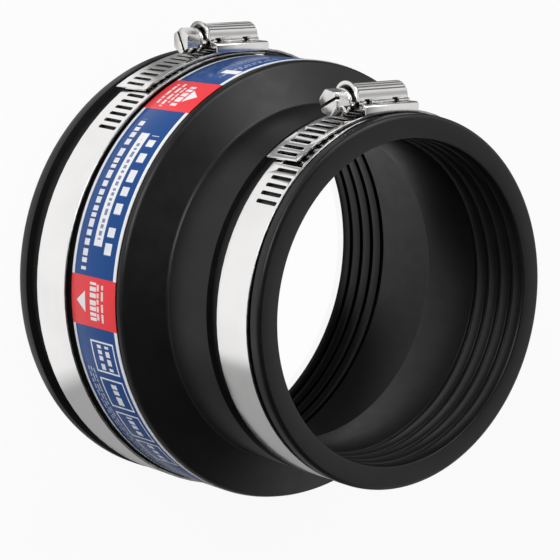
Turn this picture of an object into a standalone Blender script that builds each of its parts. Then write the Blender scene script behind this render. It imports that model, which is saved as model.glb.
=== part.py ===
"""Pipe adapter coupling: a stepped rubber sleeve with a printed wrap and two worm-drive clamps.

Lengths are in metres. The pipe axis stands upright, the large end is on the ground and the
clamp housings point along +Y.
"""
import math

import bmesh
import bpy
from mathutils import Matrix, Vector

MM = 0.001

# Clearances
FIT_GAP = 0.3 * MM
CUT_OVER = 1.0 * MM
SLOT_OVER = 0.12 * MM

# Sleeve
SLEEVE_LENGTH = 100.0 * MM
SMALL_BORE_RADIUS = 48.0 * MM
LARGE_BORE_RADIUS = 61.9 * MM
LIP_WALL = 7.15 * MM
NECK_BELOW_LIP = 0.25 * MM
BODY_BELOW_LIP = 1.45 * MM
SMALL_LIP_WIDTH = 3.6 * MM
LARGE_LIP_WIDTH = 4.6 * MM
SMALL_SEAT_END = 23.8 * MM
LARGE_SEAT_END = 26.8 * MM
CHANNEL_DEPTH = 2.2 * MM
CHANNEL_DRAFT = 0.15 * MM
CREASE_HEIGHT = 57.8 * MM
CREASE_FILLET = 0.7 * MM
SHOULDER_FALL = 6.0 * MM
SHOULDER_ROUND = 0.9 * MM
LIP_ROUND_SMALL = 0.4 * MM
LIP_ROUND_LARGE = 1.5 * MM
MOUTH_CHAMFER = 0.6 * MM
SMALL_SOCKET_DEPTH = 42.0 * MM
LARGE_SOCKET_DEPTH = 45.0 * MM

# Sealing grooves in both sockets
GROOVES_PER_SOCKET = 4
FIRST_GROOVE = 5.0 * MM
GROOVE_PITCH = 5.15 * MM
GROOVE_WIDTH = 1.6 * MM
GROOVE_DEPTH = 1.0 * MM
GROOVE_TAPER = 0.25 * MM

# Printed wrap
WRAP_TOP = 49.8 * MM
WRAP_BOTTOM = 27.6 * MM
WRAP_THICKNESS = 0.3 * MM
WRAP_RECESS = 0.3 * MM

# Clamp band
BAND_THICKNESS = 0.8 * MM
BAND_EDGE = 0.18 * MM
BAND_BELOW_LIP = 0.15 * MM
SMALL_BAND_FROM_END = 12.5 * MM
LARGE_BAND_FROM_END = 17.8 * MM
SMALL_BAND_WIDTH = 13.6 * MM
LARGE_BAND_WIDTH = 15.0 * MM
SMALL_TAIL_REACH = 37.2 * MM
LARGE_TAIL_REACH = 39.0 * MM
SMALL_SLOTS_REACH = 51.4 * MM
LARGE_SLOTS_REACH = 54.8 * MM
TAIL_DRIFT = -1.9 * MM
START_DRIFT = 1.1 * MM
TAIL_SLOT_SHIFT = 0.2 * MM
START_SLOT_SHIFT = 1.5 * MM
SLOT_PITCH = 2.75 * MM
SLOT_WIDTH = 1.3 * MM
SLOT_LENGTH = 8.8 * MM
SLOT_SLANT = 2.0
TAIL_SLOTS = 22
START_SLOTS = 14
TIP_MARGIN = 2.2 * MM
TAIL_LIFT_IN_HOUSING = 1.1 * MM
TAIL_LIFT_AT_TIP = 1.15 * MM
CLIMB_START = 32.0 * MM
CLIMB_END = 12.0 * MM
DRIFT_BEGINS = 14.0 * MM
DRIFT_SETTLES = 26.0 * MM
DRIFT_ENDS = 45.0 * MM
DRIFT_FADES = 110.0 * MM

# Saddle under each housing
SADDLE_LEFT = -11.9 * MM
SADDLE_RIGHT = 8.4 * MM
SADDLE_SHEET = 0.6 * MM
SADDLE_TOP = 3.0 * MM
SADDLE_BEND = 0.9 * MM
SADDLE_LIP = 0.7 * MM
SADDLE_FOOT = 0.1 * MM
SADDLE_WINDOW = 4.75 * MM
SADDLE_BRIDGE = 0.7 * MM

# Housing
HOUSING_FEET_LEFT = -10.8 * MM
HOUSING_FEET_RIGHT = 7.2 * MM
DOME_CENTRE = 4.4 * MM
DOME_RADIUS = 4.35 * MM
DOME_WALL = 0.65 * MM
DOME_LEFT = -11.0 * MM
DOME_RIGHT = 7.4 * MM
COLLAR_LEFT = -12.9 * MM
COLLAR_FLARE = 0.85 * MM
COLLAR_BOTTOM = 3.75 * MM
COLLAR_DROP = 0.15 * MM
FLUTES = 7
FLUTE_DEPTH = 0.38 * MM
FLUTE_SPREAD = 120.0
LEDGE_OUT = 0.8 * MM
LEDGE_THICKNESS = 0.35 * MM
LEDGE_SLOPE = 0.6 * MM
NOTCH_PLACES = (-8.6 * MM, 2.1 * MM)
NOTCH_WIDTH = 1.8 * MM
NOTCH_DROP = 0.3 * MM
NOTCH_RISE = 1.4 * MM

# Screw
SCREW_HEIGHT = 3.7 * MM
HEAD_ACROSS_FLATS = 7.0 * MM
HEAD_LEFT = -19.6 * MM
HEAD_RIGHT = -14.8 * MM
HEAD_CHAMFER = 0.3 * MM
FLANGE_RADIUS = 3.9 * MM
FLANGE_RIGHT = -13.9 * MM
PLUG_RADIUS = 3.2 * MM
PLUG_RIGHT = -11.6 * MM
SHANK_RADIUS = 2.1 * MM
SHANK_RIGHT = 7.4 * MM
DRIVE_SLOT_WIDTH = 0.9 * MM
DRIVE_SLOT_DEPTH = 1.6 * MM

# Fineness of round shapes
SLEEVE_STEPS = 64
BAND_STEP = 4.0
ARC_STEPS = 28
BEND_STEPS = 3
SHANK_STEPS = 24

# Outer radii follow the bores
SMALL_LIP_RADIUS = SMALL_BORE_RADIUS + LIP_WALL
LARGE_LIP_RADIUS = LARGE_BORE_RADIUS + LIP_WALL
NECK_RADIUS = SMALL_LIP_RADIUS - NECK_BELOW_LIP
BODY_RADIUS = LARGE_LIP_RADIUS - BODY_BELOW_LIP

# The housing's feet lie between the tail below them and the saddle's lips above
FEET_BOTTOM = TAIL_LIFT_IN_HOUSING + FIT_GAP
FEET_TOP = SADDLE_TOP - SADDLE_LIP - FIT_GAP

# The pipe axis is set back so that the whole part is centred on the origin in plan
LARGE_BAND_RADIUS = LARGE_LIP_RADIUS - BAND_BELOW_LIP
HOUSING_PROUD = DOME_CENTRE + DOME_RADIUS + COLLAR_FLARE
AXIS_Y = -(LARGE_BAND_RADIUS + HOUSING_PROUD - LARGE_LIP_RADIUS) / 2

CLAMPS = (
    {
        "name": "small_clamp",
        "radius": SMALL_LIP_RADIUS - BAND_BELOW_LIP,
        "height": SLEEVE_LENGTH - SMALL_BAND_FROM_END,
        "width": SMALL_BAND_WIDTH,
        "tail_reach": SMALL_TAIL_REACH,
        "slots_reach": SMALL_SLOTS_REACH,
        "head_turn": -19.0,
        "drive_turn": 65.0,
    },
    {
        "name": "large_clamp",
        "radius": LARGE_BAND_RADIUS,
        "height": LARGE_BAND_FROM_END,
        "width": LARGE_BAND_WIDTH,
        "tail_reach": LARGE_TAIL_REACH,
        "slots_reach": LARGE_SLOTS_REACH,
        "head_turn": 0.0,
        "drive_turn": -28.0,
    },
)


def clear_scene():
    for thing in list(bpy.data.objects):
        bpy.data.objects.remove(thing, do_unlink=True)


def new_collection(name):
    found = bpy.data.collections.new(name)
    bpy.context.scene.collection.children.link(found)
    return found


def principled(name, colour, metallic, roughness):
    made = bpy.data.materials.new(name)
    made.use_nodes = True
    shader = made.node_tree.nodes["Principled BSDF"]
    shader.inputs["Base Color"].default_value = (*colour, 1.0)
    shader.inputs["Metallic"].default_value = metallic
    shader.inputs["Roughness"].default_value = roughness
    return made


def rubber_material():
    return principled("black_rubber", (0.012, 0.012, 0.013), 0.0, 0.45)


def wrap_material():
    return principled("blue_wrap", (0.02, 0.09, 0.32), 0.0, 0.25)


def band_material():
    return principled("band_steel", (0.75, 0.74, 0.73), 1.0, 0.18)


def housing_material():
    return principled("housing_steel", (0.66, 0.65, 0.64), 1.0, 0.25)


def screw_material():
    return principled("screw_steel", (0.58, 0.57, 0.55), 1.0, 0.3)


def object_from(mesh_builder, name, group, material=None):
    mesh = bpy.data.meshes.new(name)
    bmesh.ops.recalc_face_normals(mesh_builder, faces=mesh_builder.faces)
    mesh_builder.to_mesh(mesh)
    mesh_builder.free()
    thing = bpy.data.objects.new(name, mesh)
    group.objects.link(thing)
    if material:
        mesh.materials.append(material)
    return thing


def apply_modifiers(thing):
    graph = bpy.context.evaluated_depsgraph_get()
    finished = bpy.data.meshes.new_from_object(thing.evaluated_get(graph))
    thing.modifiers.clear()
    old = thing.data
    thing.data = finished
    finished.name = thing.name
    bpy.data.meshes.remove(old)


def smooth_by_angle(thing, degrees):
    for polygon in thing.data.polygons:
        polygon.use_smooth = True
    thing.data.set_sharp_from_angle(angle=math.radians(degrees))


def as_cutter(thing):
    thing.hide_render = True
    thing.display_type = "WIRE"
    return thing


def combine(thing, other, operation):
    change = thing.modifiers.new(operation.lower(), "BOOLEAN")
    change.operation = operation
    change.solver = "EXACT"
    change.object = other
    bpy.context.view_layer.update()
    apply_modifiers(thing)


def turned(name, profile, steps, group, material=None):
    """Turn a closed (radius, height) profile round the Z axis."""
    mesh = bpy.data.meshes.new(name)
    count = len(profile)
    points = [(radius, 0.0, height) for radius, height in profile]
    edges = [(index, (index + 1) % count) for index in range(count)]
    mesh.from_pydata(points, edges, [])
    thing = bpy.data.objects.new(name, mesh)
    group.objects.link(thing)
    if material:
        mesh.materials.append(material)
    spin = thing.modifiers.new("turn", "SCREW")
    spin.axis = "Z"
    spin.angle = math.tau
    spin.steps = steps
    spin.render_steps = steps
    spin.use_merge_vertices = True
    spin.merge_threshold = 0.00001
    apply_modifiers(thing)
    return thing


def loft(name, rings, group, material=None):
    """Join closed outlines of equal length into one capped body."""
    builder = bmesh.new()
    loops = [[builder.verts.new(point) for point in ring] for ring in rings]
    count = len(loops[0])
    for lower, upper in zip(loops[:-1], loops[1:]):
        for index in range(count):
            after = (index + 1) % count
            builder.faces.new((lower[index], lower[after], upper[after], upper[index]))
    builder.faces.new(list(reversed(loops[0])))
    builder.faces.new(loops[-1])
    return object_from(builder, name, group, material)


def block(name, low, high, group, material=None):
    ring = [(low[1], low[2]), (high[1], low[2]), (high[1], high[2]), (low[1], high[2])]
    rings = [[(x, y, z) for y, z in ring] for x in (low[0], high[0])]
    return loft(name, rings, group, material)


# Sleeve

def socket_grooves(bore, mouth, direction):
    """Four seal grooves, walking inwards from the mouth of a socket."""
    points = []
    for index in range(GROOVES_PER_SOCKET):
        centre = mouth + direction * (FIRST_GROOVE + index * GROOVE_PITCH)
        half = direction * GROOVE_WIDTH / 2
        taper = direction * GROOVE_TAPER
        points.append((bore, centre - half))
        points.append((bore + GROOVE_DEPTH, centre - half + taper))
        points.append((bore + GROOVE_DEPTH, centre + half - taper))
        points.append((bore, centre + half))
    return points


def band_seat(clamp, floor):
    """Raised seat that carries one band, from its top edge to its bottom edge."""
    seat = clamp["radius"] - BAND_THICKNESS - FIT_GAP
    top = clamp["height"] + clamp["width"] / 2 - FIT_GAP
    bottom = clamp["height"] - clamp["width"] / 2 + FIT_GAP
    return [(floor, top), (seat, top), (seat, bottom), (floor, bottom)]


def small_end_profile():
    top = SLEEVE_LENGTH
    floor = SMALL_LIP_RADIUS - CHANNEL_DEPTH
    lip_foot = top - SMALL_LIP_WIDTH
    groove_end = top - SMALL_SEAT_END
    points = [
        (SMALL_BORE_RADIUS + MOUTH_CHAMFER, top),
        (SMALL_LIP_RADIUS - LIP_ROUND_SMALL, top),
        (SMALL_LIP_RADIUS, top - LIP_ROUND_SMALL),
        (SMALL_LIP_RADIUS, lip_foot),
        (floor, lip_foot - CHANNEL_DRAFT),
    ]
    points += band_seat(CLAMPS[0], floor)
    points += [(floor, groove_end + CHANNEL_DRAFT), (NECK_RADIUS, groove_end)]
    return points


def shoulder_profile():
    corner = CREASE_HEIGHT - SHOULDER_FALL
    rise = SHOULDER_FALL / (BODY_RADIUS - NECK_RADIUS)
    points = [
        (NECK_RADIUS, CREASE_HEIGHT + CREASE_FILLET),
        (NECK_RADIUS + CREASE_FILLET * 0.12, CREASE_HEIGHT + CREASE_FILLET * 0.45),
        (NECK_RADIUS + CREASE_FILLET * 0.5, CREASE_HEIGHT),
        (NECK_RADIUS + CREASE_FILLET, CREASE_HEIGHT - CREASE_FILLET * rise),
        (BODY_RADIUS - SHOULDER_ROUND, corner + SHOULDER_ROUND * rise),
        (BODY_RADIUS - SHOULDER_ROUND * 0.3, corner - SHOULDER_ROUND * 0.2),
        (BODY_RADIUS, corner - SHOULDER_ROUND),
    ]
    return points


def large_end_profile():
    floor = LARGE_LIP_RADIUS - CHANNEL_DEPTH
    recess = BODY_RADIUS - WRAP_RECESS
    points = [
        (BODY_RADIUS, WRAP_TOP + FIT_GAP),
        (recess, WRAP_TOP + FIT_GAP),
        (recess, WRAP_BOTTOM - FIT_GAP),
        (BODY_RADIUS, WRAP_BOTTOM - FIT_GAP),
        (BODY_RADIUS, LARGE_SEAT_END),
        (floor, LARGE_SEAT_END - CHANNEL_DRAFT),
    ]
    points += band_seat(CLAMPS[1], floor)
    points += [
        (floor, LARGE_LIP_WIDTH + CHANNEL_DRAFT),
        (LARGE_LIP_RADIUS, LARGE_LIP_WIDTH),
        (LARGE_LIP_RADIUS, LIP_ROUND_LARGE),
        (LARGE_LIP_RADIUS - LIP_ROUND_LARGE * 0.3, LIP_ROUND_LARGE * 0.3),
        (LARGE_LIP_RADIUS - LIP_ROUND_LARGE, 0.0),
    ]
    return points


def bore_profile():
    points = [(LARGE_BORE_RADIUS + MOUTH_CHAMFER, 0.0), (LARGE_BORE_RADIUS, MOUTH_CHAMFER)]
    points += socket_grooves(LARGE_BORE_RADIUS, 0.0, 1.0)
    points.append((LARGE_BORE_RADIUS, LARGE_SOCKET_DEPTH))
    points.append((SMALL_BORE_RADIUS, SLEEVE_LENGTH - SMALL_SOCKET_DEPTH))
    points += reversed(socket_grooves(SMALL_BORE_RADIUS, SLEEVE_LENGTH, -1.0))
    points.append((SMALL_BORE_RADIUS, SLEEVE_LENGTH - MOUTH_CHAMFER))
    return points


def make_sleeve(parts):
    profile = small_end_profile() + shoulder_profile() + large_end_profile() + bore_profile()
    sleeve = turned("sleeve", profile, SLEEVE_STEPS, parts, rubber_material())
    smooth_by_angle(sleeve, 32.0)
    sleeve.location.y = AXIS_Y
    return sleeve


def make_wrap(parts):
    inner = BODY_RADIUS - WRAP_RECESS + FIT_GAP
    outer = inner + WRAP_THICKNESS
    profile = [(outer, WRAP_TOP), (outer, WRAP_BOTTOM), (inner, WRAP_BOTTOM), (inner, WRAP_TOP)]
    wrap = turned("label", profile, SLEEVE_STEPS, parts, wrap_material())
    smooth_by_angle(wrap, 32.0)
    wrap.location.y = AXIS_Y
    return wrap


# Clamp band

def ease(amount):
    held = min(max(amount, 0.0), 1.0)
    return held * held * (3 - 2 * held)


def strip_lift(clamp, along):
    """Height of the strip above its resting radius; along is the arc length past one full turn."""
    climb = ease((along + CLIMB_START) / (CLIMB_START - CLIMB_END))
    beyond = max(along - CLIMB_END, 0.0) / (clamp["tail_reach"] - CLIMB_END)
    rise = TAIL_LIFT_AT_TIP - TAIL_LIFT_IN_HOUSING
    return TAIL_LIFT_IN_HOUSING * climb + rise * ease(beyond)


def strip_drift(clamp, along):
    """Sideways lean of the strip: the free tail one way, the turn beneath it the other way."""
    beyond = max(along - CLIMB_END, 0.0) / (clamp["tail_reach"] - CLIMB_END)
    from_start = along + math.tau * clamp["radius"]
    comes = ease((from_start - DRIFT_BEGINS) / (DRIFT_SETTLES - DRIFT_BEGINS))
    goes = ease((from_start - DRIFT_ENDS) / (DRIFT_FADES - DRIFT_ENDS))
    return TAIL_DRIFT * beyond + START_DRIFT * comes * (1 - goes)


def strip_point(clamp, degrees, height):
    past = math.radians(degrees - 450.0) * clamp["radius"]
    radius = clamp["radius"] + strip_lift(clamp, past)
    angle = math.radians(degrees)
    side = height + strip_drift(clamp, past)
    return Vector((radius * math.cos(angle), radius * math.sin(angle), side))


def strip_limits(clamp):
    radius = clamp["radius"]
    start = 90.0 - math.degrees(math.asin((SADDLE_RIGHT - SADDLE_BRIDGE) / radius))
    tip = 450.0 + math.degrees(clamp["tail_reach"] / radius)
    return start, tip


def strip_body(clamp, parts):
    start, tip = strip_limits(clamp)
    steps = int(round((tip - start) / BAND_STEP))
    half = clamp["width"] / 2
    builder = bmesh.new()
    rows = []
    for index in range(steps + 1):
        degrees = start + (tip - start) * index / steps
        rows.append([builder.verts.new(strip_point(clamp, degrees, side)) for side in (-half, half)])
    for before, after in zip(rows[:-1], rows[1:]):
        builder.faces.new((before[0], after[0], after[1], before[1]))
    strip = object_from(builder, clamp["name"] + "_band", parts, band_material())
    thicken = strip.modifiers.new("thickness", "SOLIDIFY")
    thicken.thickness = BAND_THICKNESS
    thicken.offset = -1.0
    thicken.use_even_offset = True
    soften = strip.modifiers.new("edges", "BEVEL")
    soften.width = BAND_EDGE
    soften.segments = 1
    soften.limit_method = "ANGLE"
    soften.angle_limit = math.radians(60.0)
    apply_modifiers(strip)
    return strip


def slot_prism(builder, clamp, degrees, shift):
    """One slanted slot with rounded ends, standing through the strip."""
    outer = strip_point(clamp, degrees, 0.0)
    radial = Vector((outer.x, outer.y, 0.0)).normalized()
    along = Vector((-radial.y, radial.x, 0.0))
    slant = math.tan(math.radians(SLOT_SLANT))
    half_length = SLOT_LENGTH / 2
    half_width = SLOT_WIDTH / 2
    outline = (
        (-0.5, -1.0, 0.0), (0.5, -1.0, 0.0), (1.0, -1.0, 0.5), (1.0, 1.0, -0.5),
        (0.5, 1.0, 0.0), (-0.5, 1.0, 0.0), (-1.0, 1.0, -0.5), (-1.0, -1.0, 0.5),
    )
    layers = []
    for depth in (SLOT_OVER, -BAND_THICKNESS - SLOT_OVER):
        layer = []
        for across, end, trim in outline:
            height = end * half_length + trim * half_width
            place = outer + radial * depth + along * (across * half_width + height * slant)
            place.z += height + shift
            layer.append(builder.verts.new(place))
        layers.append(layer)
    count = len(outline)
    for index in range(count):
        after = (index + 1) % count
        builder.faces.new((layers[0][index], layers[0][after], layers[1][after], layers[1][index]))
    builder.faces.new(layers[0])
    builder.faces.new(list(reversed(layers[1])))


def slot_cutter(clamp, cutters):
    start, tip = strip_limits(clamp)
    step = math.degrees(SLOT_PITCH / clamp["radius"])
    first_tail = tip - math.degrees(TIP_MARGIN / clamp["radius"])
    first_start = 90.0 + math.degrees(clamp["slots_reach"] / clamp["radius"])
    builder = bmesh.new()
    for index in range(TAIL_SLOTS):
        slot_prism(builder, clamp, first_tail - index * step, TAIL_SLOT_SHIFT)
    for index in range(START_SLOTS):
        degrees = first_start - index * step
        if degrees > start + step:
            slot_prism(builder, clamp, degrees, START_SLOT_SHIFT)
    return as_cutter(object_from(builder, clamp["name"] + "_slots", cutters))


def make_band(clamp, parts, cutters):
    strip = strip_body(clamp, parts)
    combine(strip, slot_cutter(clamp, cutters), "DIFFERENCE")
    smooth_by_angle(strip, 25.0)
    strip.location = (0.0, AXIS_Y, clamp["height"])
    return strip


# Clamp housing and saddle, laid out round the pipe axis with the housing at the top

def folded_outline(x, foot, top, outside):
    """Outline across the saddle: straight sides and two bent top corners."""
    centre = outside - SADDLE_BEND
    angles = [math.radians(90.0 * index / BEND_STEPS) for index in range(BEND_STEPS + 1)]
    corner = [(top - SADDLE_BEND * (1 - math.sin(a)), centre + SADDLE_BEND * math.cos(a)) for a in angles]
    points = [(x, foot, outside)]
    points += [(x, y, z) for y, z in corner]
    points += [(x, y, -z) for y, z in reversed(corner)]
    points.append((x, foot, -outside))
    return points


def make_saddle(clamp, parts, cutters):
    """A channel upside down over the strip, open below and to the left, with a slot along its top."""
    radius = clamp["radius"]
    inside = clamp["width"] / 2 + FIT_GAP
    outside = inside + SADDLE_SHEET
    top = radius + SADDLE_TOP
    foot = radius + SADDLE_FOOT
    name = clamp["name"] + "_saddle"
    ends = [folded_outline(x, foot, top, outside) for x in (SADDLE_LEFT, SADDLE_RIGHT)]
    saddle = loft(name, ends, parts, housing_material())
    low = (SADDLE_LEFT - CUT_OVER, foot - CUT_OVER, -inside)
    room = block(name + "_room", low, (SADDLE_RIGHT + CUT_OVER, top - SADDLE_LIP, inside), cutters)
    combine(saddle, as_cutter(room), "DIFFERENCE")
    low = (SADDLE_LEFT - CUT_OVER, top - SADDLE_LIP - CUT_OVER, -SADDLE_WINDOW)
    high = (SADDLE_RIGHT - SADDLE_BRIDGE, top + CUT_OVER, SADDLE_WINDOW)
    combine(saddle, as_cutter(block(name + "_window", low, high, cutters)), "DIFFERENCE")
    smooth_by_angle(saddle, 35.0)
    saddle.location = (0.0, AXIS_Y, clamp["height"])
    return saddle


def arch(x, centre, radius, bottom, flute):
    """Arch outline across the screw: straight legs, round top and shallow flutes."""
    points = [(x, bottom, radius), (x, centre, radius)]
    steps = FLUTES * 4
    spread = math.radians(FLUTE_SPREAD)
    for index in range(steps + 1):
        angle = (math.pi - spread) / 2 + spread * index / steps
        reach = radius - (flute if index % 4 == 2 else 0.0)
        points.append((x, centre + reach * math.sin(angle), reach * math.cos(angle)))
    points += [(x, centre, -radius), (x, bottom, -radius)]
    return points


def rounded_arch(x, centre, radius, bottom):
    points = [(x, bottom, radius)]
    for index in range(ARC_STEPS + 1):
        angle = math.pi * index / ARC_STEPS
        points.append((x, centre + radius * math.sin(angle), radius * math.cos(angle)))
    points.append((x, bottom, -radius))
    return points


def housing_ledge(name, radius, cutters):
    """Narrow ledge along both feet, just over the saddle's top."""
    under = radius + SADDLE_TOP + FIT_GAP
    over = under + LEDGE_THICKNESS
    wide = DOME_RADIUS + LEDGE_OUT
    outline = [(under, wide), (over, wide), (over + LEDGE_SLOPE, DOME_RADIUS - DOME_WALL / 2)]
    outline += [(y, -z) for y, z in reversed(outline)]
    ends = [[(x, y, z) for y, z in outline] for x in (HOUSING_FEET_LEFT, HOUSING_FEET_RIGHT)]
    return as_cutter(loft(name + "_ledge", ends, cutters))


def cut_notches(housing, radius, cutters):
    """Small openings at the foot of the dome, two on each side."""
    low_y = radius + SADDLE_TOP - NOTCH_DROP
    high_y = radius + SADDLE_TOP + NOTCH_RISE
    reach = DOME_RADIUS + LEDGE_OUT + CUT_OVER
    for place in NOTCH_PLACES:
        for side in (-1.0, 1.0):
            near, far = sorted((side * (DOME_RADIUS - DOME_WALL * 1.5), side * reach))
            low = (place - NOTCH_WIDTH / 2, low_y, near)
            high = (place + NOTCH_WIDTH / 2, high_y, far)
            combine(housing, as_cutter(block(housing.name + "_notch", low, high, cutters)), "DIFFERENCE")


def make_housing(clamp, parts, cutters):
    radius = clamp["radius"]
    name = clamp["name"] + "_housing"
    centre = radius + DOME_CENTRE
    feet = radius + FEET_BOTTOM
    collar = radius + COLLAR_BOTTOM
    flare = DOME_RADIUS + COLLAR_FLARE
    third = (DOME_LEFT - COLLAR_LEFT) / 3
    rings = [
        arch(COLLAR_LEFT, centre, flare, collar, 0.0),
        arch(COLLAR_LEFT + third, centre, flare, collar, 0.0),
        arch(DOME_LEFT - third * 0.3, centre, DOME_RADIUS, collar - COLLAR_DROP, 0.0),
        arch(DOME_LEFT, centre, DOME_RADIUS, feet, FLUTE_DEPTH),
        arch(DOME_RIGHT - third * 0.5, centre, DOME_RADIUS, feet, FLUTE_DEPTH),
        arch(DOME_RIGHT, centre, DOME_RADIUS - third * 0.4, feet, FLUTE_DEPTH),
    ]
    housing = loft(name, rings, parts, housing_material())
    foot_half = clamp["width"] / 2
    low = (HOUSING_FEET_LEFT, feet, -foot_half)
    plate = block(name + "_feet", low, (HOUSING_FEET_RIGHT, radius + FEET_TOP, foot_half), cutters)
    combine(housing, as_cutter(plate), "UNION")
    combine(housing, housing_ledge(name, radius, cutters), "UNION")
    hollow = DOME_RADIUS - DOME_WALL
    ends = (COLLAR_LEFT - CUT_OVER, DOME_RIGHT + CUT_OVER)
    tunnel = loft(name + "_hollow", [rounded_arch(x, centre, hollow, feet - CUT_OVER) for x in ends], cutters)
    combine(housing, as_cutter(tunnel), "DIFFERENCE")
    cut_notches(housing, radius, cutters)
    smooth_by_angle(housing, 28.0)
    housing.location = (0.0, AXIS_Y, clamp["height"])
    return housing


# Screw, built along X round its own axis

def hexagon_ring(x, across, turn):
    corner = across / math.sqrt(3.0)
    angles = [math.radians(turn + 60.0 * index) for index in range(6)]
    return [(x, corner * math.cos(angle), corner * math.sin(angle)) for angle in angles]


def circle_ring(x, radius):
    angles = [math.tau * index / SHANK_STEPS for index in range(SHANK_STEPS)]
    return [(x, radius * math.cos(angle), radius * math.sin(angle)) for angle in angles]


def screw_shank(name, cutters):
    overlap = (HEAD_RIGHT - HEAD_LEFT) * 0.3
    rings = [
        circle_ring(HEAD_RIGHT - overlap, SHANK_RADIUS),
        circle_ring(HEAD_RIGHT - overlap * 0.05, FLANGE_RADIUS * 0.86),
        circle_ring(HEAD_RIGHT + overlap * 0.1, FLANGE_RADIUS),
        circle_ring(FLANGE_RIGHT, FLANGE_RADIUS),
        circle_ring(FLANGE_RIGHT, PLUG_RADIUS),
        circle_ring(PLUG_RIGHT, PLUG_RADIUS),
        circle_ring(PLUG_RIGHT, SHANK_RADIUS),
        circle_ring(SHANK_RIGHT, SHANK_RADIUS),
    ]
    return as_cutter(loft(name + "_shank", rings, cutters))


def head_chamfer(name, cutters):
    corner = HEAD_ACROSS_FLATS / math.sqrt(3.0)
    rings = [
        circle_ring(HEAD_LEFT, corner - HEAD_CHAMFER),
        circle_ring(HEAD_LEFT + HEAD_CHAMFER, corner * 1.06),
        circle_ring(HEAD_RIGHT + CUT_OVER, corner * 1.06),
    ]
    return as_cutter(loft(name + "_chamfer", rings, cutters))


def make_screw(clamp, parts, cutters):
    name = clamp["name"] + "_screw"
    head = [hexagon_ring(x, HEAD_ACROSS_FLATS, clamp["head_turn"]) for x in (HEAD_LEFT, HEAD_RIGHT)]
    screw = loft(name, head, parts, screw_material())
    combine(screw, head_chamfer(name, cutters), "INTERSECT")
    combine(screw, screw_shank(name, cutters), "UNION")
    half = DRIVE_SLOT_WIDTH / 2
    reach = HEAD_ACROSS_FLATS
    low = (HEAD_LEFT - CUT_OVER, -reach, -half)
    drive = block(name + "_drive", low, (HEAD_LEFT + DRIVE_SLOT_DEPTH, reach, half), cutters)
    drive.data.transform(Matrix.Rotation(math.radians(clamp["drive_turn"]), 4, "X"))
    combine(screw, as_cutter(drive), "DIFFERENCE")
    smooth_by_angle(screw, 28.0)
    screw.location = (0.0, AXIS_Y + clamp["radius"] + SCREW_HEIGHT, clamp["height"])
    return screw


def main():
    clear_scene()
    parts = new_collection("pipe_adapter_coupling")
    cutters = new_collection("cutters")
    make_sleeve(parts)
    make_wrap(parts)
    for clamp in CLAMPS:
        make_band(clamp, parts, cutters)
        make_saddle(clamp, parts, cutters)
        make_housing(clamp, parts, cutters)
        make_screw(clamp, parts, cutters)


main()
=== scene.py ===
"""Pipe adapter coupling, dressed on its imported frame: moulded rubber sleeve, printed wrap, steel clamps."""
import math

import bpy
from mathutils import Matrix, Vector


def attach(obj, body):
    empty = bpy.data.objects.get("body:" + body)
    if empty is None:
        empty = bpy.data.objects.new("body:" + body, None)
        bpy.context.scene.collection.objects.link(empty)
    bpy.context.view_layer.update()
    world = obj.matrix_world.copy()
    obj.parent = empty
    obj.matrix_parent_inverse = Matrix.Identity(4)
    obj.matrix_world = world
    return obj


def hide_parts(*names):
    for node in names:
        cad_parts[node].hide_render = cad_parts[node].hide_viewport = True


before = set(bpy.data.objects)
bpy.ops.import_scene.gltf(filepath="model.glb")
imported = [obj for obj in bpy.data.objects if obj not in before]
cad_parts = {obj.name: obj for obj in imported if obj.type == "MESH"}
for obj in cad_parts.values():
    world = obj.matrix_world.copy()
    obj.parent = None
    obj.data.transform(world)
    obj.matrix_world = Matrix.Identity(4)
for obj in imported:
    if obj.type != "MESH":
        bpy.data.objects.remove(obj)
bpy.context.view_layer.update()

MM = 0.001

# Sleeve, as the frame has it
AXIS_Y = -4.725 * MM
SLEEVE_LENGTH = 100.0 * MM
SMALL_BORE = 48.0 * MM
LARGE_BORE = 61.9 * MM
LARGE_BORE_TOP = 45.0 * MM
SMALL_BORE_BOTTOM = 58.0 * MM
SMALL_LIP = 55.15 * MM
LARGE_LIP = 69.05 * MM
NECK = 54.9 * MM
BODY = 67.6 * MM
BODY_BOTTOM = 26.8 * MM
CREASE_HEIGHT = 57.8 * MM
CREASE_RUN = 0.75 * MM
SHOULDER_SLOPE = 6.0 / 12.7
WRAP_RECESS = 0.3 * MM
# The channels under the bands: depth, upper and lower end, the small one's counted down from the small end
CHANNEL = 2.2 * MM
SMALL_CHANNEL = (3.75 * MM, 23.65 * MM)
LARGE_CHANNEL = (26.65 * MM, 4.75 * MM)
# The raised seat under each band: radius, upper end and lower end
SMALL_SEAT = (53.9 * MM, 93.9 * MM, 81.1 * MM)
LARGE_SEAT = (67.8 * MM, 25.0 * MM, 10.6 * MM)
# Rounded corners in millimetres outwards and up: from the bore, the lip, the neck's foot or the pipe axis
SMALL_MOUTH = ((0.0, -0.7), (0.2, -0.2))
SMALL_MOUTH_TOP = ((0.7, 0.0),)
SMALL_LIP_EDGE = ((-1.1, 0.0), (-0.25, -0.5), (0.0, -1.0), (0.0, -3.6))
NECK_TOP = ((0.0, -23.8),)
CREASE = ((0.0, 0.7), (0.09, 0.3), (0.32, 0.0))
SHOULDER_EDGE = ((66.5, 52.32), (67.0, 51.98), (67.35, 51.55), (67.55, 51.05), (67.6, 50.6))
LARGE_LIP_EDGE = ((0.0, 4.6), (0.0, 1.5), (-0.12, 0.92), (-0.44, 0.44), (-0.92, 0.12), (-1.5, 0.0))
LARGE_MOUTH = ((0.6, 0.0), (0.0, 0.6))
SEAL_GROOVES = 4
SEAL_DEPTH = 1.0 * MM
SEAL_HALF = 0.8 * MM
SEAL_TAPER = 0.25 * MM
# In millimetres from the mouth
SEAL_FIRST = 5.0
SEAL_PITCH = 5.15

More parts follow.
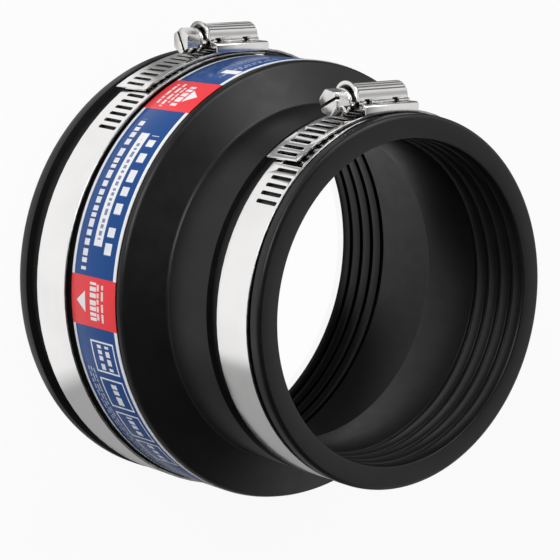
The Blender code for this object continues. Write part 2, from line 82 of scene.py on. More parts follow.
# Wrap, as the frame has it
WRAP_OUTER = 67.9 * MM
WRAP_INNER = 67.6 * MM
WRAP_TOP = 49.8 * MM
WRAP_BOTTOM = 27.6 * MM

# Clamps, as the frame has them
BAND_RADIUS = {"small": 55.0 * MM, "large": 68.9 * MM}
BAND_HEIGHT = {"small": 87.5 * MM, "large": 17.8 * MM}
BAND_HALF = {"small": 6.8 * MM, "large": 7.5 * MM}
TAIL_REACH = {"small": 37.2 * MM, "large": 39.0 * MM}
TAIL_DRIFT = 1.9 * MM
TAIL_CLEARANCE = 0.15 * MM
HOUSING_REACH = 9.0 * MM
NOTCHES_FROM = -10.5 * MM
NOTCHES_TO = 4.5 * MM
DOME_CENTRE = 4.4 * MM
DOME_RADIUS = 4.35 * MM
DOME_WALL = 0.65 * MM
# Painted shade in the dome's flutes: depth under the dome's radius where it is full, where it ends, and its
# strength
FLUTE_FLOOR = 0.24 * MM
FLUTE_TOP = 0.06 * MM
FLUTE_DARKNESS = 0.9
SCREW_HEIGHT = 3.7 * MM
SHANK_HIDDEN = -11.5 * MM
HEAD_LEFT = -19.6 * MM
DRIVE_SLOT_DEPTH = 1.6 * MM
DRIVE_SLOT_HALF = 0.45 * MM
DRIVE_TURN = {"small": 65.0, "large": -28.0}
FACE_SLACK = 0.03 * MM
CUT_EDGE_TILT = 0.35
NOTCH_WALL_TILT = 0.7

# Softened edges: width, and the angle in degrees from which an edge is softened
RUBBER_EDGE = (0.22 * MM, 24.0)
FILM_EDGE = (0.08 * MM, 24.0)
STRIP_EDGE = (0.08 * MM, 40.0)
SADDLE_EDGE = (0.12 * MM, 35.0)
HOUSING_EDGE = (0.05 * MM, 30.0)
SCREW_EDGE = (0.05 * MM, 26.0)
EDGE_SEGMENTS = 2
MERGE_DISTANCE = 0.000002
FLAT_ANGLE = 0.6
RING_SMOOTH_ANGLE = 40.0
STEEL_SMOOTH_ANGLE = 35.0
SLEEVE_FACETS = 192

# Finishes: darker and lighter colour of the mottle, and range of roughness
RUBBER_COLOURS = ((0.0045, 0.0045, 0.0047), (0.0075, 0.0075, 0.0078))
RUBBER_ROUGHNESS = (0.34, 0.43)
RUBBER_GLOSS = 0.33
STRIP_COLOURS = ((0.87, 0.86, 0.855), (0.93, 0.92, 0.915))
STRIP_ROUGHNESS = (0.12, 0.21)
SHEET_COLOURS = ((0.77, 0.76, 0.75), (0.86, 0.85, 0.84))
SHEET_ROUGHNESS = (0.16, 0.25)
TURNED_COLOURS = ((0.70, 0.69, 0.68), (0.82, 0.81, 0.79))
TURNED_ROUGHNESS = (0.18, 0.3)
FILM_ROUGHNESS = (0.16, 0.24)
FILM_GLOSS = 0.13
# Colour of the painted shade on the strip's start under the tail
UNDER_TAIL_SHADE = (0.03, 0.03, 0.03)
# Colour of the painted shade in the dome's flutes
FLUTE_SHADE = (0.10, 0.10, 0.10)
# Painted shade in the screw's drive slot, on its hidden shank and on the notch walls: colour level and
# roughness
PAINTED_SHADE_LEVEL = 0.05
PAINTED_SHADE_ROUGHNESS = 0.5
SHEARED_LEVEL = 0.36
SHEARED_ROUGHNESS = 0.35
FINE_BUMP = 0.00002

# Studio
FLOOR_SEEN_DIRECT = 0.93
FLOOR_SEEN_IN_BORE = 0.98
FLOOR_SEEN_MIRRORED = 0.88
FLOOR_IN_BORE_RADIUS = 60.0 * MM
# How white the bore's rubber sees the floor: on its -Y side, in the middle, and added on its +Y side
BORE_FRONT_WHITE = 0.05
BORE_MIDDLE_WHITE = 0.85
BORE_BACK_WHITE = 0.15
BORE_FRONT_SPAN = (-22.0 * MM, -11.0 * MM)
BORE_BACK_SPAN = (5.0 * MM, 20.0 * MM)
FLOOR_SIZE = 8.0
FLOOR_WHITE = (0.95, 0.95, 0.95)
WORLD_ON_SURFACES = 0.15
WORLD_MIRRORED_LEFT = 0.04
WORLD_MIRRORED_RIGHT = 0.8
WORLD_RIGHT_SPAN = (0.25, 0.55)
LAMP_TARGET = (0.0, 0.0, 0.05)
# Name, place, size and power
LAMPS = (
    ("side softbox", (-0.95, 0.6, 0.55), (0.7, 0.7), 9.0),
    ("top softbox", (0.3, 1.1, 0.7), (0.9, 0.5), 7.0),
    ("low softbox", (-0.9, -0.55, 0.2), (0.3, 0.9), 0.35),
)
# How white the floor is in metal, by turns round the part: 0 is its +X side, 0.25 -Y, 0.5 -X, 0.75 +Y
FLOOR_IN_METAL = (
    (0.0, 0.2), (0.2, 0.3), (0.405, 0.38), (0.426, 0.98), (0.5, 1.0), (0.685, 1.0), (0.705, 0.22),
    (0.735, 0.26), (0.75, 1.0), (0.765, 0.9), (0.78, 0.1), (1.0, 0.15),
)

# Camera, read off the photograph's edges
CAMERA_PLACE = (-413.78 * MM, 116.01 * MM + AXIS_Y, 547.75 * MM)
CAMERA_RIGHT = (0.77396, 0.0, 0.63323)
CAMERA_UP = (0.11158, 0.98435, -0.13638)
CAMERA_BACK = (-0.62333, 0.17621, 0.76185)
CAMERA_LENS = 137.33
CAMERA_SENSOR = 36.0
CAMERA_CLIP_START = 0.01


def deselect():
    if bpy.context.object and bpy.context.object.mode != "OBJECT":
        bpy.ops.object.mode_set(mode="OBJECT")
    bpy.ops.object.select_all(action="DESELECT")


def only(piece):
    deselect()
    piece.select_set(True)
    bpy.context.view_layer.objects.active = piece


def settle(piece):
    """Put the piece's place, turn and size into its mesh."""
    only(piece)
    bpy.ops.object.transform_apply(location=True, rotation=True, scale=True)


def apply_all(piece):
    only(piece)
    for modifier in list(piece.modifiers):
        bpy.ops.object.modifier_apply(modifier=modifier.name)


def round_edges(piece, edge):
    """Soften the edges that are sharper than the edge's angle."""
    width, angle = edge
    bevel = piece.modifiers.new("soft edges", "BEVEL")
    bevel.width = width
    bevel.segments = EDGE_SEGMENTS
    bevel.limit_method = "ANGLE"
    bevel.angle_limit = math.radians(angle)
    bevel.harden_normals = False
    apply_all(piece)


def smooth(piece, angle):
    only(piece)
    bpy.ops.object.shade_smooth_by_angle(angle=math.radians(angle))


def finish_piece(piece, name, material, slot, body, *nodes):
    piece.name = name
    piece.data.name = name
    piece.data.materials.clear()
    piece.data.materials.append(material)
    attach(piece, body)
    if nodes:
        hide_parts(*nodes)
    return piece


# Shader helpers

def new_material(name, colour, metallic, roughness):
    made = bpy.data.materials.new(name)
    made.use_nodes = True
    shader = made.node_tree.nodes["Principled BSDF"]
    shader.inputs["Base Color"].default_value = (*colour, 1.0)
    shader.inputs["Metallic"].default_value = metallic
    shader.inputs["Roughness"].default_value = roughness
    return made, made.node_tree.nodes, made.node_tree.links, shader


def maths(nodes, links, operation, first, second=None):
    node = nodes.new("ShaderNodeMath")
    node.operation = operation
    for socket, value in zip(node.inputs, (first, second)):
        if value is None:
            continue
        if isinstance(value, (int, float)):
            socket.default_value = value
        else:
            links.new(value, socket)
    return node.outputs["Value"]


def noise(nodes, links, vector, scale, detail, roughness):
    node = nodes.new("ShaderNodeTexNoise")
    node.inputs["Scale"].default_value = scale
    node.inputs["Detail"].default_value = detail
    node.inputs["Roughness"].default_value = roughness
    links.new(vector, node.inputs["Vector"])
    return node.outputs["Fac"]


def ramp(nodes, links, value, stops):
    node = nodes.new("ShaderNodeValToRGB")
    elements = node.color_ramp.elements
    while len(elements) < len(stops):
        elements.new(0.5)
    for element, (place, colour) in zip(elements, stops):
        element.position = place
        element.color = (*colour, 1.0)
    links.new(value, node.inputs["Fac"])
    return node.outputs["Color"]


def span(nodes, links, value, low, high, new_low, new_high):
    node = nodes.new("ShaderNodeMapRange")
    for name, number in (("From Min", low), ("From Max", high), ("To Min", new_low), ("To Max", new_high)):
        node.inputs[name].default_value = number
    links.new(value, node.inputs["Value"])
    return node.outputs["Result"]


def bump(nodes, links, shader, height, strength, depth):
    node = nodes.new("ShaderNodeBump")
    node.inputs["Strength"].default_value = strength
    node.inputs["Distance"].default_value = depth
    links.new(height, node.inputs["Height"])
    links.new(node.outputs["Normal"], shader.inputs["Normal"])


def object_place(nodes):
    return nodes.new("ShaderNodeTexCoord").outputs["Object"]


def from_the_axis(nodes, links):
    """Coordinates with the pipe axis at zero."""
    split = nodes.new("ShaderNodeSeparateXYZ")
    links.new(object_place(nodes), split.inputs["Vector"])
    y = maths(nodes, links, "SUBTRACT", split.outputs["Y"], AXIS_Y)
    return split.outputs["X"], y, split.outputs["Z"]


def length_of(nodes, links, first, second):
    """Length of the flat vector with these two parts."""
    squares = [maths(nodes, links, "MULTIPLY", part, part) for part in (first, second)]
    return maths(nodes, links, "SQRT", maths(nodes, links, "ADD", *squares))


def both(nodes, links, first, second):
    """One where both masks are one."""
    return maths(nodes, links, "MULTIPLY", first, second)


def mottle(nodes, links, value, colours):
    """Colour that drifts between two near tones."""
    darker, lighter = colours
    return ramp(nodes, links, value, ((0.3, darker), (0.7, lighter)))


def vary_roughness(nodes, links, shader, value, limits):
    links.new(span(nodes, links, value, 0.3, 0.7, *limits), shader.inputs["Roughness"])


# Finishes

def rubber():
    """Black moulded rubber: satin, faintly mottled, with a fine skin texture."""
    made, nodes, links, shader = new_material("moulded rubber", (0.006, 0.006, 0.006), 0.0, 0.42)
    shader.inputs["Specular IOR Level"].default_value = RUBBER_GLOSS
    place = object_place(nodes)
    clouds = noise(nodes, links, place, 90.0, 4.0, 0.6)
    links.new(mottle(nodes, links, clouds, RUBBER_COLOURS), shader.inputs["Base Color"])
    patches = noise(nodes, links, place, 240.0, 3.0, 0.55)
    rough = span(nodes, links, patches, 0.25, 0.75, *RUBBER_ROUGHNESS)
    links.new(rough, shader.inputs["Roughness"])
    grain = noise(nodes, links, place, 2600.0, 2.0, 0.5)
    bump(nodes, links, shader, grain, 0.18, 2.0 * FINE_BUMP)
    return made


def strip_steel(size):
    """Rolled stainless strip: bright, with hair-fine lines along it, and painted shade where the tail lies
    over it.
    """
    name = "rolled strip steel, " + size
    made, nodes, links, shader = new_material(name, (0.90, 0.89, 0.88), 1.0, 0.16)
    x, y, z = from_the_axis(nodes, links)
    turn = maths(nodes, links, "ARCTAN2", y, x)
    lines = nodes.new("ShaderNodeCombineXYZ")
    links.new(maths(nodes, links, "MULTIPLY", turn, 0.4), lines.inputs["X"])
    links.new(maths(nodes, links, "MULTIPLY", z, 2600.0), lines.inputs["Y"])
    hair = noise(nodes, links, lines.outputs["Vector"], 3.0, 4.0, 0.6)
    vary_roughness(nodes, links, shader, hair, STRIP_ROUGHNESS)
    clouds = noise(nodes, links, object_place(nodes), 60.0, 2.0, 0.5)
    colour = mottle(nodes, links, clouds, STRIP_COLOURS)
    # Painted shade on the strip's start where the tail and the housing lie over it
    covered = under_the_tail(nodes, links, size, x, y, z, turn)
    colour = paint(nodes, links, colour, covered, UNDER_TAIL_SHADE)
    links.new(colour, shader.inputs["Base Color"])
    bump(nodes, links, shader, hair, 0.06, FINE_BUMP)
    return made


def under_the_tail(nodes, links, size, x, y, z, turn):
    """One on the strip's start where its tail and the housing cover it, where the shade is painted."""
    radius = BAND_RADIUS[size]
    top = math.pi / 2.0
    reach = length_of(nodes, links, x, y)
    under = maths(nodes, links, "LESS_THAN", reach, radius + TAIL_CLEARANCE)
    beside = maths(nodes, links, "LESS_THAN", z, BAND_HEIGHT[size] + BAND_HALF[size] - TAIL_DRIFT)
    before_tip = maths(nodes, links, "LESS_THAN", turn, top + TAIL_REACH[size] / radius)
    after_housing = maths(nodes, links, "GREATER_THAN", turn, top - HOUSING_REACH / radius)
    along = both(nodes, links, before_tip, after_housing)
    return both(nodes, links, both(nodes, links, under, beside), along)


def pressed_steel(size):
    """Pressed stainless sheet with faint tool marks, and painted shade in the flutes of the dome."""
    name = "pressed sheet steel, " + size
    made, nodes, links, shader = new_material(name, (0.82, 0.81, 0.80), 1.0, 0.2)
    place = object_place(nodes)
    split = nodes.new("ShaderNodeSeparateXYZ")
    links.new(place, split.inputs["Vector"])
    up = maths(nodes, links, "SUBTRACT", split.outputs["Y"], AXIS_Y + BAND_RADIUS[size] + DOME_CENTRE)
    aside = maths(nodes, links, "SUBTRACT", split.outputs["Z"], BAND_HEIGHT[size])
    reach = length_of(nodes, links, up, aside)
    low, high = DOME_RADIUS - FLUTE_FLOOR, DOME_RADIUS - FLUTE_TOP
    # Painted shade in the flutes, on the dome's outer half
    depth = span(nodes, links, reach, low, high, FLUTE_DARKNESS, 0.0)
    upper = maths(nodes, links, "GREATER_THAN", up, 0.0)
    outer = maths(nodes, links, "GREATER_THAN", reach, DOME_RADIUS - DOME_WALL)
    flutes = both(nodes, links, depth, both(nodes, links, upper, outer))
    marks = noise(nodes, links, place, 700.0, 3.0, 0.5)
    vary_roughness(nodes, links, shader, marks, SHEET_ROUGHNESS)
    clouds = noise(nodes, links, place, 120.0, 2.0, 0.5)
    colour = paint(nodes, links, mottle(nodes, links, clouds, SHEET_COLOURS), flutes, FLUTE_SHADE)
    links.new(colour, shader.inputs["Base Color"])
    bump(nodes, links, shader, marks, 0.05, FINE_BUMP)
    return made


def turned_steel():
    """Screw steel: slightly warm and unevenly polished."""
    made, nodes, links, shader = new_material("turned screw steel", (0.76, 0.75, 0.73), 1.0, 0.24)
    clouds = noise(nodes, links, object_place(nodes), 420.0, 3.0, 0.5)
    vary_roughness(nodes, links, shader, clouds, TURNED_ROUGHNESS)
    links.new(mottle(nodes, links, clouds, TURNED_COLOURS), shader.inputs["Base Color"])
    bump(nodes, links, shader, clouds, 0.05, FINE_BUMP)
    return made


def dull_or_shade_steel(name, level, roughness):
    """Darker steel: the dull cut edges of the strip, and painted shade in the screw's drive slot, on its
    shank inside the housing and on the notch walls.
    """
    made, nodes, links, shader = new_material(name, (level, level, level), 1.0, roughness)
    clouds = noise(nodes, links, object_place(nodes), 600.0, 2.0, 0.5)
    tones = ((level * 0.7,) * 3, (level * 1.3,) * 3)
    links.new(mottle(nodes, links, clouds, tones), shader.inputs["Base Color"])
    return made


# Printed wrap. Places are in millimetres: along the wrap from the clamp side, and across it.

WRAP_RED = (0.83, 0.055, 0.065)
WRAP_BLUE = (0.010, 0.066, 0.25)
WRAP_WHITE = (0.84, 0.85, 0.87)
RED_BLOCKS = ((29.3, 43.9), (99.6, 114.6))
WHITE_BOXES = ((53.5, 90.4, 9.1, 13.2), (19.6, 22.1, 12.7, 20.5))
FRAMES = ((118.6, 128.9), (130.9, 141.5), (143.4, 153.9), (155.6, 166.1))
FRAME_ACROSS = (7.8, 19.4)
FRAME_LINE = 0.55
EDGE_STRIPE = 1.25
PRINT_EDGE = 0.08
DASH_EDGE = 0.03
# Triangles: place along, half width, across at the tip, across at the base
ARROWS = ((36.7, 2.9, 18.6, 14.1), (107.3, 3.2, 2.7, 7.0))
# Rows of short dashes: along from, along to, across from, across to, dash pitch, share filled, strength
DASH_ROWS = (
    (54.0, 93.5, 14.8, 18.2, 5.5, 0.6, 0.95),
    (48.5, 98.0, 4.4, 6.8, 2.6, 0.7, 0.92),
    (32.0, 41.7, 10.5, 13.3, 2.1, 0.7, 0.95),
    (101.1, 112.5, 9.5, 12.6, 1.9, 0.7, 0.95),
    (3.0, 25.0, 15.6, 16.3, 2.7, 0.7, 0.5),
    (3.0, 18.0, 17.2, 17.9, 2.2, 0.7, 0.5),
    (31.5, 42.0, 3.2, 4.3, 2.2, 0.74, 0.85),
    (31.0, 42.5, 6.0, 7.2, 2.6, 0.76, 0.85),
    (33.0, 40.5, 8.4, 9.3, 2.0, 0.74, 0.85),
    (101.5, 112.8, 13.0, 14.0, 2.4, 0.74, 0.85),
    (101.5, 112.8, 15.2, 16.2, 2.9, 0.76, 0.85),
    (119.8, 127.9, 14.6, 16.6, 2.7, 0.7, 0.95),
    (119.8, 127.9, 10.8, 12.8, 2.7, 0.7, 0.95),
    (132.3, 140.1, 12.4, 15.2, 2.6, 0.72, 0.95),
    (144.6, 152.7, 12.4, 15.2, 2.7, 0.72, 0.95),
    (156.8, 164.9, 12.4, 15.2, 2.7, 0.72, 0.95),
    (128.0, 170.0, 3.0, 3.6, 2.4, 0.74, 0.5),
    (128.0, 170.0, 4.3, 4.9, 2.9, 0.74, 0.5),
    (128.0, 170.0, 5.6, 6.2, 2.1, 0.74, 0.5),
)
# The same, in blue on the long white box
BOX_ROW = (56.0, 88.5, 10.5, 11.9, 1.9, 0.6, 0.75)
ROW_STEP = 7.0
DASH_DRIFT = 0.45


def band_mask(nodes, links, value, low, high):
    """One between low and high, with a short soft step at each side."""
    rise = maths(nodes, links, "SUBTRACT", value, low)
    fall = maths(nodes, links, "SUBTRACT", high, value)
    inside = maths(nodes, links, "MINIMUM", rise, fall)
    return span(nodes, links, inside, -PRINT_EDGE, PRINT_EDGE, 0.0, 1.0)


def box_mask(nodes, links, along, across, low, high, bottom, top):
    first = band_mask(nodes, links, along, low, high)
    second = band_mask(nodes, links, across, bottom, top)
    return maths(nodes, links, "MINIMUM", first, second)


def union(nodes, links, masks):
    total = masks[0]
    for mask in masks[1:]:
        total = maths(nodes, links, "MAXIMUM", total, mask)
    return total


def arrow_mask(nodes, links, along, across, centre, half, tip, base):
    """A plain triangle that narrows from its base to its tip across the wrap."""
    side = maths(nodes, links, "ABSOLUTE", maths(nodes, links, "SUBTRACT", along, centre))
    height = span(nodes, links, across, base, tip, half, 0.0)
    slope = maths(nodes, links, "SUBTRACT", height, side)
    inside = span(nodes, links, slope, -PRINT_EDGE, PRINT_EDGE, 0.0, 1.0)
    limits = (base, tip) if base < tip else (tip, base)
    return maths(nodes, links, "MINIMUM", inside, band_mask(nodes, links, across, *limits))


def dash_mask(nodes, links, along, across, row):
    """A row of short dashes of uneven length, in place of a line of print."""
    low, high, bottom, top, pitch, filled, strength = row
    line = box_mask(nodes, links, along, across, low, high, bottom, top)
    drift = noise(nodes, links, place_on_line(nodes, links, along, bottom), DASH_DRIFT / pitch, 1.0, 0.5)
    shifted = maths(nodes, links, "ADD", along, maths(nodes, links, "MULTIPLY", drift, pitch * 2.0))
    part = maths(nodes, links, "FRACT", maths(nodes, links, "DIVIDE", shifted, pitch))
    dash = span(nodes, links, part, filled - DASH_EDGE, filled + DASH_EDGE, strength, 0.0)
    return maths(nodes, links, "MULTIPLY", line, dash)


def place_on_line(nodes, links, along, row):
    """Noise coordinates that differ from row to row."""
    place = nodes.new("ShaderNodeCombineXYZ")
    links.new(along, place.inputs["X"])
    place.inputs["Y"].default_value = row * ROW_STEP
    return place.outputs["Vector"]


def paint(nodes, links, below, mask, colour):
    """Lay a colour over another where the mask is one."""
    node = nodes.new("ShaderNodeMix")
    node.data_type = "RGBA"
    links.new(mask, node.inputs["Factor"])
    if isinstance(below, tuple):
        node.inputs["A"].default_value = (*below, 1.0)
    else:
        links.new(below, node.inputs["A"])
    node.inputs["B"].default_value = (*colour, 1.0)
    return node.outputs["Result"]


def places_on_the_wrap(nodes, links):
    """Millimetres along the wrap from the clamp side, all the way round, and up it from its lower edge."""
    x, y, z = from_the_axis(nodes, links)
    radius = WRAP_OUTER / MM
    around = maths(nodes, links, "ARCTAN2", maths(nodes, links, "MULTIPLY", x, -1.0), y)
    along = maths(nodes, links, "MULTIPLY", around, radius)
    behind = maths(nodes, links, "LESS_THAN", along, 0.0)
    full_turn = maths(nodes, links, "MULTIPLY", behind, math.tau * radius)
    along = maths(nodes, links, "ADD", along, full_turn)
    across = maths(nodes, links, "MULTIPLY", maths(nodes, links, "SUBTRACT", z, WRAP_BOTTOM), 1.0 / MM)
    return along, across


def frame_mask(nodes, links, along, across, low, high):
    """The outline of a box."""
    bottom, top = FRAME_ACROSS
    outer = box_mask(nodes, links, along, across, low, high, bottom, top)
    inner = box_mask(nodes, links, along, across, low + FRAME_LINE, high - FRAME_LINE,
                     bottom + FRAME_LINE, top - FRAME_LINE)
    return maths(nodes, links, "SUBTRACT", outer, inner)


def printed_film():
    """Glossy film with plain fields of colour: stripes, blocks, arrows, frames and rows of dashes."""
    made, nodes, links, shader = new_material("printed film", WRAP_BLUE, 0.0, 0.22)
    shader.inputs["Specular IOR Level"].default_value = FILM_GLOSS
    along, across = places_on_the_wrap(nodes, links)
    width = (WRAP_TOP - WRAP_BOTTOM) / MM
    stripes = [band_mask(nodes, links, across, -1.0, EDGE_STRIPE)]
    stripes.append(band_mask(nodes, links, across, width - EDGE_STRIPE, width + 1.0))
    colour = paint(nodes, links, WRAP_BLUE, union(nodes, links, stripes), WRAP_WHITE)
    blocks = [band_mask(nodes, links, along, low, high) for low, high in RED_BLOCKS]
    colour = paint(nodes, links, colour, union(nodes, links, blocks), WRAP_RED)
    white = [box_mask(nodes, links, along, across, *box) for box in WHITE_BOXES]
    white += [arrow_mask(nodes, links, along, across, *arrow) for arrow in ARROWS]
    white += [frame_mask(nodes, links, along, across, low, high) for low, high in FRAMES]
    colour = paint(nodes, links, colour, union(nodes, links, white), WRAP_WHITE)
    rows = [dash_mask(nodes, links, along, across, row) for row in DASH_ROWS]
    colour = paint(nodes, links, colour, union(nodes, links, rows), WRAP_WHITE)
    colour = paint(nodes, links, colour, dash_mask(nodes, links, along, across, BOX_ROW), WRAP_BLUE)
    links.new(colour, shader.inputs["Base Color"])
    ripple = noise(nodes, links, object_place(nodes), 130.0, 2.0, 0.5)
    vary_roughness(nodes, links, shader, ripple, FILM_ROUGHNESS)
    bump(nodes, links, shader, ripple, 0.12, 5.0 * FINE_BUMP)
    return made


# Pieces

def turned_body(name, profile, facets):
    """A ring body: a circle extruded and resized from one profile point to the next, then bridged shut."""
    deselect()
    radius, height = profile[0]
    bpy.ops.mesh.primitive_circle_add(vertices=facets, radius=radius, location=(0.0, AXIS_Y, height))
    body = bpy.context.object
    settle(body)
    bpy.ops.object.mode_set(mode="EDIT")
    bpy.ops.mesh.select_all(action="SELECT")
    for (last_radius, last_height), (radius, height) in zip(profile[:-1], profile[1:]):
        move = {"value": (0.0, 0.0, height - last_height)}
        bpy.ops.mesh.extrude_edges_move(TRANSFORM_OT_translate=move)
        grow = radius / last_radius
        bpy.ops.transform.resize(value=(grow, grow, 1.0), center_override=(0.0, AXIS_Y, height))
    bpy.ops.mesh.select_all(action="DESELECT")
    bpy.ops.mesh.select_non_manifold()
    bpy.ops.mesh.bridge_edge_loops()
    bpy.ops.mesh.select_all(action="SELECT")
    bpy.ops.mesh.normals_make_consistent(inside=False)
    bpy.ops.object.mode_set(mode="OBJECT")
    body.name = name
    return body


def seal_grooves(bore, mouth, direction):
    """The sealing grooves of one socket, from its mouth inwards."""
    points = []
    half = direction * SEAL_HALF
    taper = direction * SEAL_TAPER
    floor = bore + SEAL_DEPTH
    for index in range(SEAL_GROOVES):
        centre = mouth + direction * (SEAL_FIRST + SEAL_PITCH * index) * MM
        points += [(bore, centre - half), (floor, centre - half + taper)]
        points += [(floor, centre + half - taper), (bore, centre + half)]
    return points


def band_channel(lip, seat, top, bottom):
    """The channel that a band lies in, with its raised seat."""
    floor = lip - CHANNEL
    radius, high, low = seat
    return [(floor, top), (floor, high), (radius, high), (radius, low), (floor, low), (floor, bottom)]


def corner_points(radius, height, steps):
    """Points of the section at these distances, in millimetres, from a radius and a height."""
    return [(radius + out * MM, height + up * MM) for out, up in steps]


def sleeve_profile():
    """Radius and height all round the sleeve's section, outside from top to bottom and back up inside."""
    top = SLEEVE_LENGTH
    recess = BODY - WRAP_RECESS
    points = corner_points(SMALL_BORE, top, SMALL_MOUTH_TOP) + corner_points(SMALL_LIP, top, SMALL_LIP_EDGE)
    points += band_channel(SMALL_LIP, SMALL_SEAT, top - SMALL_CHANNEL[0], top - SMALL_CHANNEL[1])
    points += corner_points(NECK, top, NECK_TOP) + corner_points(NECK, CREASE_HEIGHT, CREASE)
    points += [(NECK + CREASE_RUN, CREASE_HEIGHT - CREASE_RUN * SHOULDER_SLOPE)]
    points += corner_points(0.0, 0.0, SHOULDER_EDGE)
    points += [(BODY, WRAP_TOP + WRAP_RECESS), (recess, WRAP_TOP + WRAP_RECESS)]
    points += [(recess, WRAP_BOTTOM - WRAP_RECESS), (BODY, WRAP_BOTTOM - WRAP_RECESS), (BODY, BODY_BOTTOM)]
    points += band_channel(LARGE_LIP, LARGE_SEAT, *LARGE_CHANNEL)
    points += corner_points(LARGE_LIP, 0.0, LARGE_LIP_EDGE) + corner_points(LARGE_BORE, 0.0, LARGE_MOUTH)
    points += seal_grooves(LARGE_BORE, 0.0, 1.0)
    points += [(LARGE_BORE, LARGE_BORE_TOP), (SMALL_BORE, SMALL_BORE_BOTTOM)]
    points += reversed(seal_grooves(SMALL_BORE, top, -1.0))
    return points + corner_points(SMALL_BORE, top, SMALL_MOUTH)


def make_sleeve(material):
    sleeve = turned_body("moulded_sleeve", sleeve_profile(), SLEEVE_FACETS)
    round_edges(sleeve, RUBBER_EDGE)
    smooth(sleeve, RING_SMOOTH_ANGLE)
    return finish_piece(sleeve, "moulded_sleeve", material, "rubber", "coupling", "sleeve")


def make_wrap(material):
    profile = [(WRAP_OUTER, WRAP_TOP), (WRAP_OUTER, WRAP_BOTTOM)]
    profile += [(WRAP_INNER, WRAP_BOTTOM), (WRAP_INNER, WRAP_TOP)]
    wrap = turned_body("printed_wrap", profile, SLEEVE_FACETS)
    round_edges(wrap, FILM_EDGE)
    smooth(wrap, RING_SMOOTH_ANGLE)
    return finish_piece(wrap, "printed_wrap", material, "wrap", "coupling", "label")


def worked_copy(node, name, edge, material, slot, body):
    """A merged copy of a frame piece with its flat faces joined and its edges softened."""
    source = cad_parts[node]
    piece = bpy.data.objects.new(name, source.data.copy())
    bpy.context.scene.collection.objects.link(piece)
    only(piece)
    bpy.ops.object.mode_set(mode="EDIT")
    bpy.ops.mesh.select_all(action="SELECT")
    bpy.ops.mesh.remove_doubles(threshold=MERGE_DISTANCE)
    bpy.ops.mesh.dissolve_limited(angle_limit=math.radians(FLAT_ANGLE))
    bpy.ops.object.mode_set(mode="OBJECT")
    round_edges(piece, edge)
    smooth(piece, STEEL_SMOOTH_ANGLE)
    return finish_piece(piece, name, material, slot, body, node)


def refinish(piece, material, chosen):
    """Give the chosen faces of a piece a second finish."""
    piece.data.materials.append(material)
    for face in piece.data.polygons:
        if chosen(face):
            face.material_index = 1


def drive_slot_or_shank(size):
    """Picks the screw's faces inside its drive slot, and those of the shank inside the housing, for painted
    shade.
    """
    turn = math.radians(DRIVE_TURN[size])
    middle = AXIS_Y + BAND_RADIUS[size] + SCREW_HEIGHT

    def chosen(face):
        x, y, z = face.center
        off = math.cos(turn) * (z - BAND_HEIGHT[size]) - math.sin(turn) * (y - middle)
        deep = HEAD_LEFT + FACE_SLACK * 4 < x < HEAD_LEFT + DRIVE_SLOT_DEPTH + FACE_SLACK
        return x > SHANK_HIDDEN or (deep and abs(off) < DRIVE_SLOT_HALF + FACE_SLACK)
    return chosen


def cut_edge(face):
    """Picks the strip's cut edges."""
    return abs(face.normal.z) > CUT_EDGE_TILT


def notch_wall(face):
    """Picks the side walls of the small openings at the housing's foot, for painted shade."""
    return abs(face.normal.x) > NOTCH_WALL_TILT and NOTCHES_FROM < face.center.x < NOTCHES_TO


def make_clamp(size, turned, dark, sheared):
    node = size + "_clamp_"
    sheet = pressed_steel(size)
    strip = worked_copy(node + "band", size + "_strip", STRIP_EDGE, strip_steel(size), "band", "coupling")
    refinish(strip, sheared, cut_edge)
    worked_copy(node + "saddle", size + "_saddle_sheet", SADDLE_EDGE, sheet, "housing", "coupling")
    cover = size + "_worm_housing"
    housing = worked_copy(node + "housing", cover, HOUSING_EDGE, sheet, "housing", "coupling")
    # Painted shade on the notch walls
    refinish(housing, dark, notch_wall)
    body = size + "_screw"
    screw = worked_copy(node + "screw", size + "_hexagon_screw", SCREW_EDGE, turned, "screw", body)
    # Painted shade in the drive slot and on the shank inside the housing
    refinish(screw, dark, drive_slot_or_shank(size))


# Camera, floor and light

def make_camera():
    camera = bpy.data.cameras.new("camera")
    camera.lens = CAMERA_LENS
    camera.sensor_width = CAMERA_SENSOR
    camera.clip_start = CAMERA_CLIP_START
    holder = bpy.data.objects.new("camera", camera)
    bpy.context.scene.collection.objects.link(holder)
    turned = Matrix((CAMERA_RIGHT, CAMERA_UP, CAMERA_BACK)).transposed().to_4x4()
    holder.matrix_world = Matrix.Translation(CAMERA_PLACE) @ turned
    bpy.context.scene.camera = holder


def floor_in_metal(nodes, links, x, y):
    """Share of plain white that metal sees in the floor, in broad pale and grey fields round the part."""
    turn = maths(nodes, links, "ARCTAN2", y, maths(nodes, links, "MULTIPLY", x, -1.0))
    share = span(nodes, links, turn, -math.pi, math.pi, 0.0, 1.0)
    return ramp(nodes, links, share, [(place, (level,) * 3) for place, level in FLOOR_IN_METAL])


def floor_in_bore(nodes, links, y):
    """How white the floor inside the bore is for the rubber that mirrors it."""
    middle = span(nodes, links, y, *BORE_FRONT_SPAN, BORE_FRONT_WHITE, BORE_MIDDLE_WHITE)
    back = span(nodes, links, y, *BORE_BACK_SPAN, 0.0, BORE_BACK_WHITE)
    return maths(nodes, links, "ADD", middle, back)


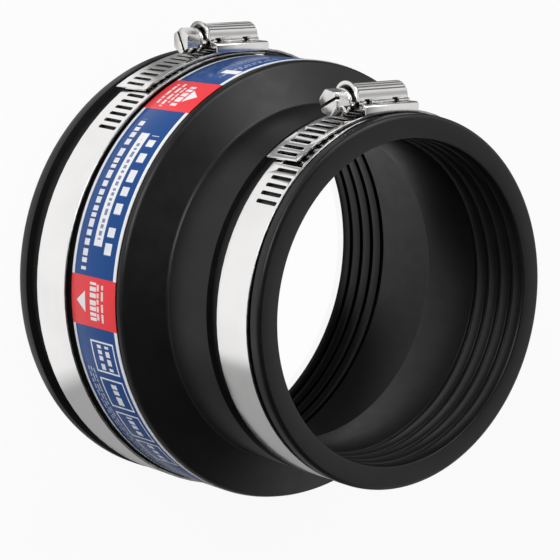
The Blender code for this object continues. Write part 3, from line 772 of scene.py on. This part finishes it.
def make_floor():
    """Plain pale floor, near white to the camera, that metal and rubber see in paler and greyer fields."""
    deselect()
    bpy.ops.mesh.primitive_plane_add(size=FLOOR_SIZE, location=(0.0, 0.0, 0.0))
    floor = bpy.context.object
    floor.name = "floor"
    made = bpy.data.materials.new("pale floor")
    made.use_nodes = True
    nodes, links = made.node_tree.nodes, made.node_tree.links
    nodes.remove(nodes["Principled BSDF"])
    paper = nodes.new("ShaderNodeBsdfDiffuse")
    paper.inputs["Color"].default_value = (*FLOOR_WHITE, 1.0)
    glow = nodes.new("ShaderNodeEmission")
    glow.inputs["Color"].default_value = (1.0, 1.0, 1.0, 1.0)
    x, y = from_the_axis(nodes, links)[:2]
    inside = maths(nodes, links, "LESS_THAN", length_of(nodes, links, x, y), FLOOR_IN_BORE_RADIUS)
    path = nodes.new("ShaderNodeLightPath")
    seen = maths(nodes, links, "MAXIMUM", path.outputs["Is Camera Ray"], path.outputs["Is Transmission Ray"])
    white = span(nodes, links, inside, 0.0, 1.0, FLOOR_SEEN_DIRECT, FLOOR_SEEN_IN_BORE)
    direct = maths(nodes, links, "MULTIPLY", seen, white)
    glossy = path.outputs["Is Glossy Ray"]
    mirrored = maths(nodes, links, "MULTIPLY", glossy, FLOOR_SEEN_MIRRORED)
    share = maths(nodes, links, "MAXIMUM", direct, mirrored)
    within = maths(nodes, links, "MULTIPLY", inside, floor_in_bore(nodes, links, y))
    outside = maths(nodes, links, "MULTIPLY", floor_in_metal(nodes, links, x, y),
                    maths(nodes, links, "SUBTRACT", 1.0, inside))
    dimmed = maths(nodes, links, "SUBTRACT", 1.0, maths(nodes, links, "ADD", within, outside))
    level = maths(nodes, links, "SUBTRACT", 1.0, maths(nodes, links, "MULTIPLY", glossy, dimmed))
    links.new(level, glow.inputs["Strength"])
    mix = nodes.new("ShaderNodeMixShader")
    links.new(share, mix.inputs["Fac"])
    links.new(paper.outputs["BSDF"], mix.inputs[1])
    links.new(glow.outputs["Emission"], mix.inputs[2])
    links.new(mix.outputs["Shader"], nodes["Material Output"].inputs["Surface"])
    floor.data.materials.append(made)


def make_world():
    """Soft light, white to the camera. Mirrored rays see it pale on the +X side and dim elsewhere."""
    world = bpy.data.worlds.new("studio")
    bpy.context.scene.world = world
    world.use_nodes = True
    nodes, links = world.node_tree.nodes, world.node_tree.links
    background = nodes["Background"]
    path = nodes.new("ShaderNodeLightPath")
    split = nodes.new("ShaderNodeSeparateXYZ")
    links.new(nodes.new("ShaderNodeTexCoord").outputs["Generated"], split.inputs["Vector"])
    right = span(nodes, links, split.outputs["X"], *WORLD_RIGHT_SPAN,
                 WORLD_MIRRORED_LEFT, WORLD_MIRRORED_RIGHT)
    glossy = maths(nodes, links, "MULTIPLY", path.outputs["Is Glossy Ray"], right)
    plain = span(nodes, links, path.outputs["Is Glossy Ray"], 0.0, 1.0, WORLD_ON_SURFACES, 0.0)
    level = maths(nodes, links, "ADD", glossy, plain)
    seen = maths(nodes, links, "MAXIMUM", level, path.outputs["Is Camera Ray"])
    links.new(seen, background.inputs["Strength"])
    background.inputs["Color"].default_value = (1.0, 1.0, 1.0, 1.0)


def make_lamps():
    for name, place, size, power in LAMPS:
        lamp = bpy.data.lights.new(name, "AREA")
        lamp.shape = "RECTANGLE"
        lamp.size, lamp.size_y = size
        lamp.energy = power
        holder = bpy.data.objects.new(name, lamp)
        bpy.context.scene.collection.objects.link(holder)
        holder.location = place
        aim = Vector(LAMP_TARGET) - Vector(place)
        holder.rotation_euler = aim.to_track_quat("-Z", "Y").to_euler()


def main():
    scene = bpy.context.scene
    scene.view_settings.view_transform = "Standard"
    make_camera()
    make_sleeve(rubber())
    make_wrap(printed_film())
    turned = turned_steel()
    # Dark steel with painted shade, for the drive slot, the hidden shank and the notch walls
    dark = dull_or_shade_steel("painted shade steel", PAINTED_SHADE_LEVEL, PAINTED_SHADE_ROUGHNESS)
    sheared = dull_or_shade_steel("sheared edge steel", SHEARED_LEVEL, SHEARED_ROUGHNESS)
    for size in ("small", "large"):
        make_clamp(size, turned, dark, sheared)
    make_floor()
    make_world()
    make_lamps()


main()
deselect()
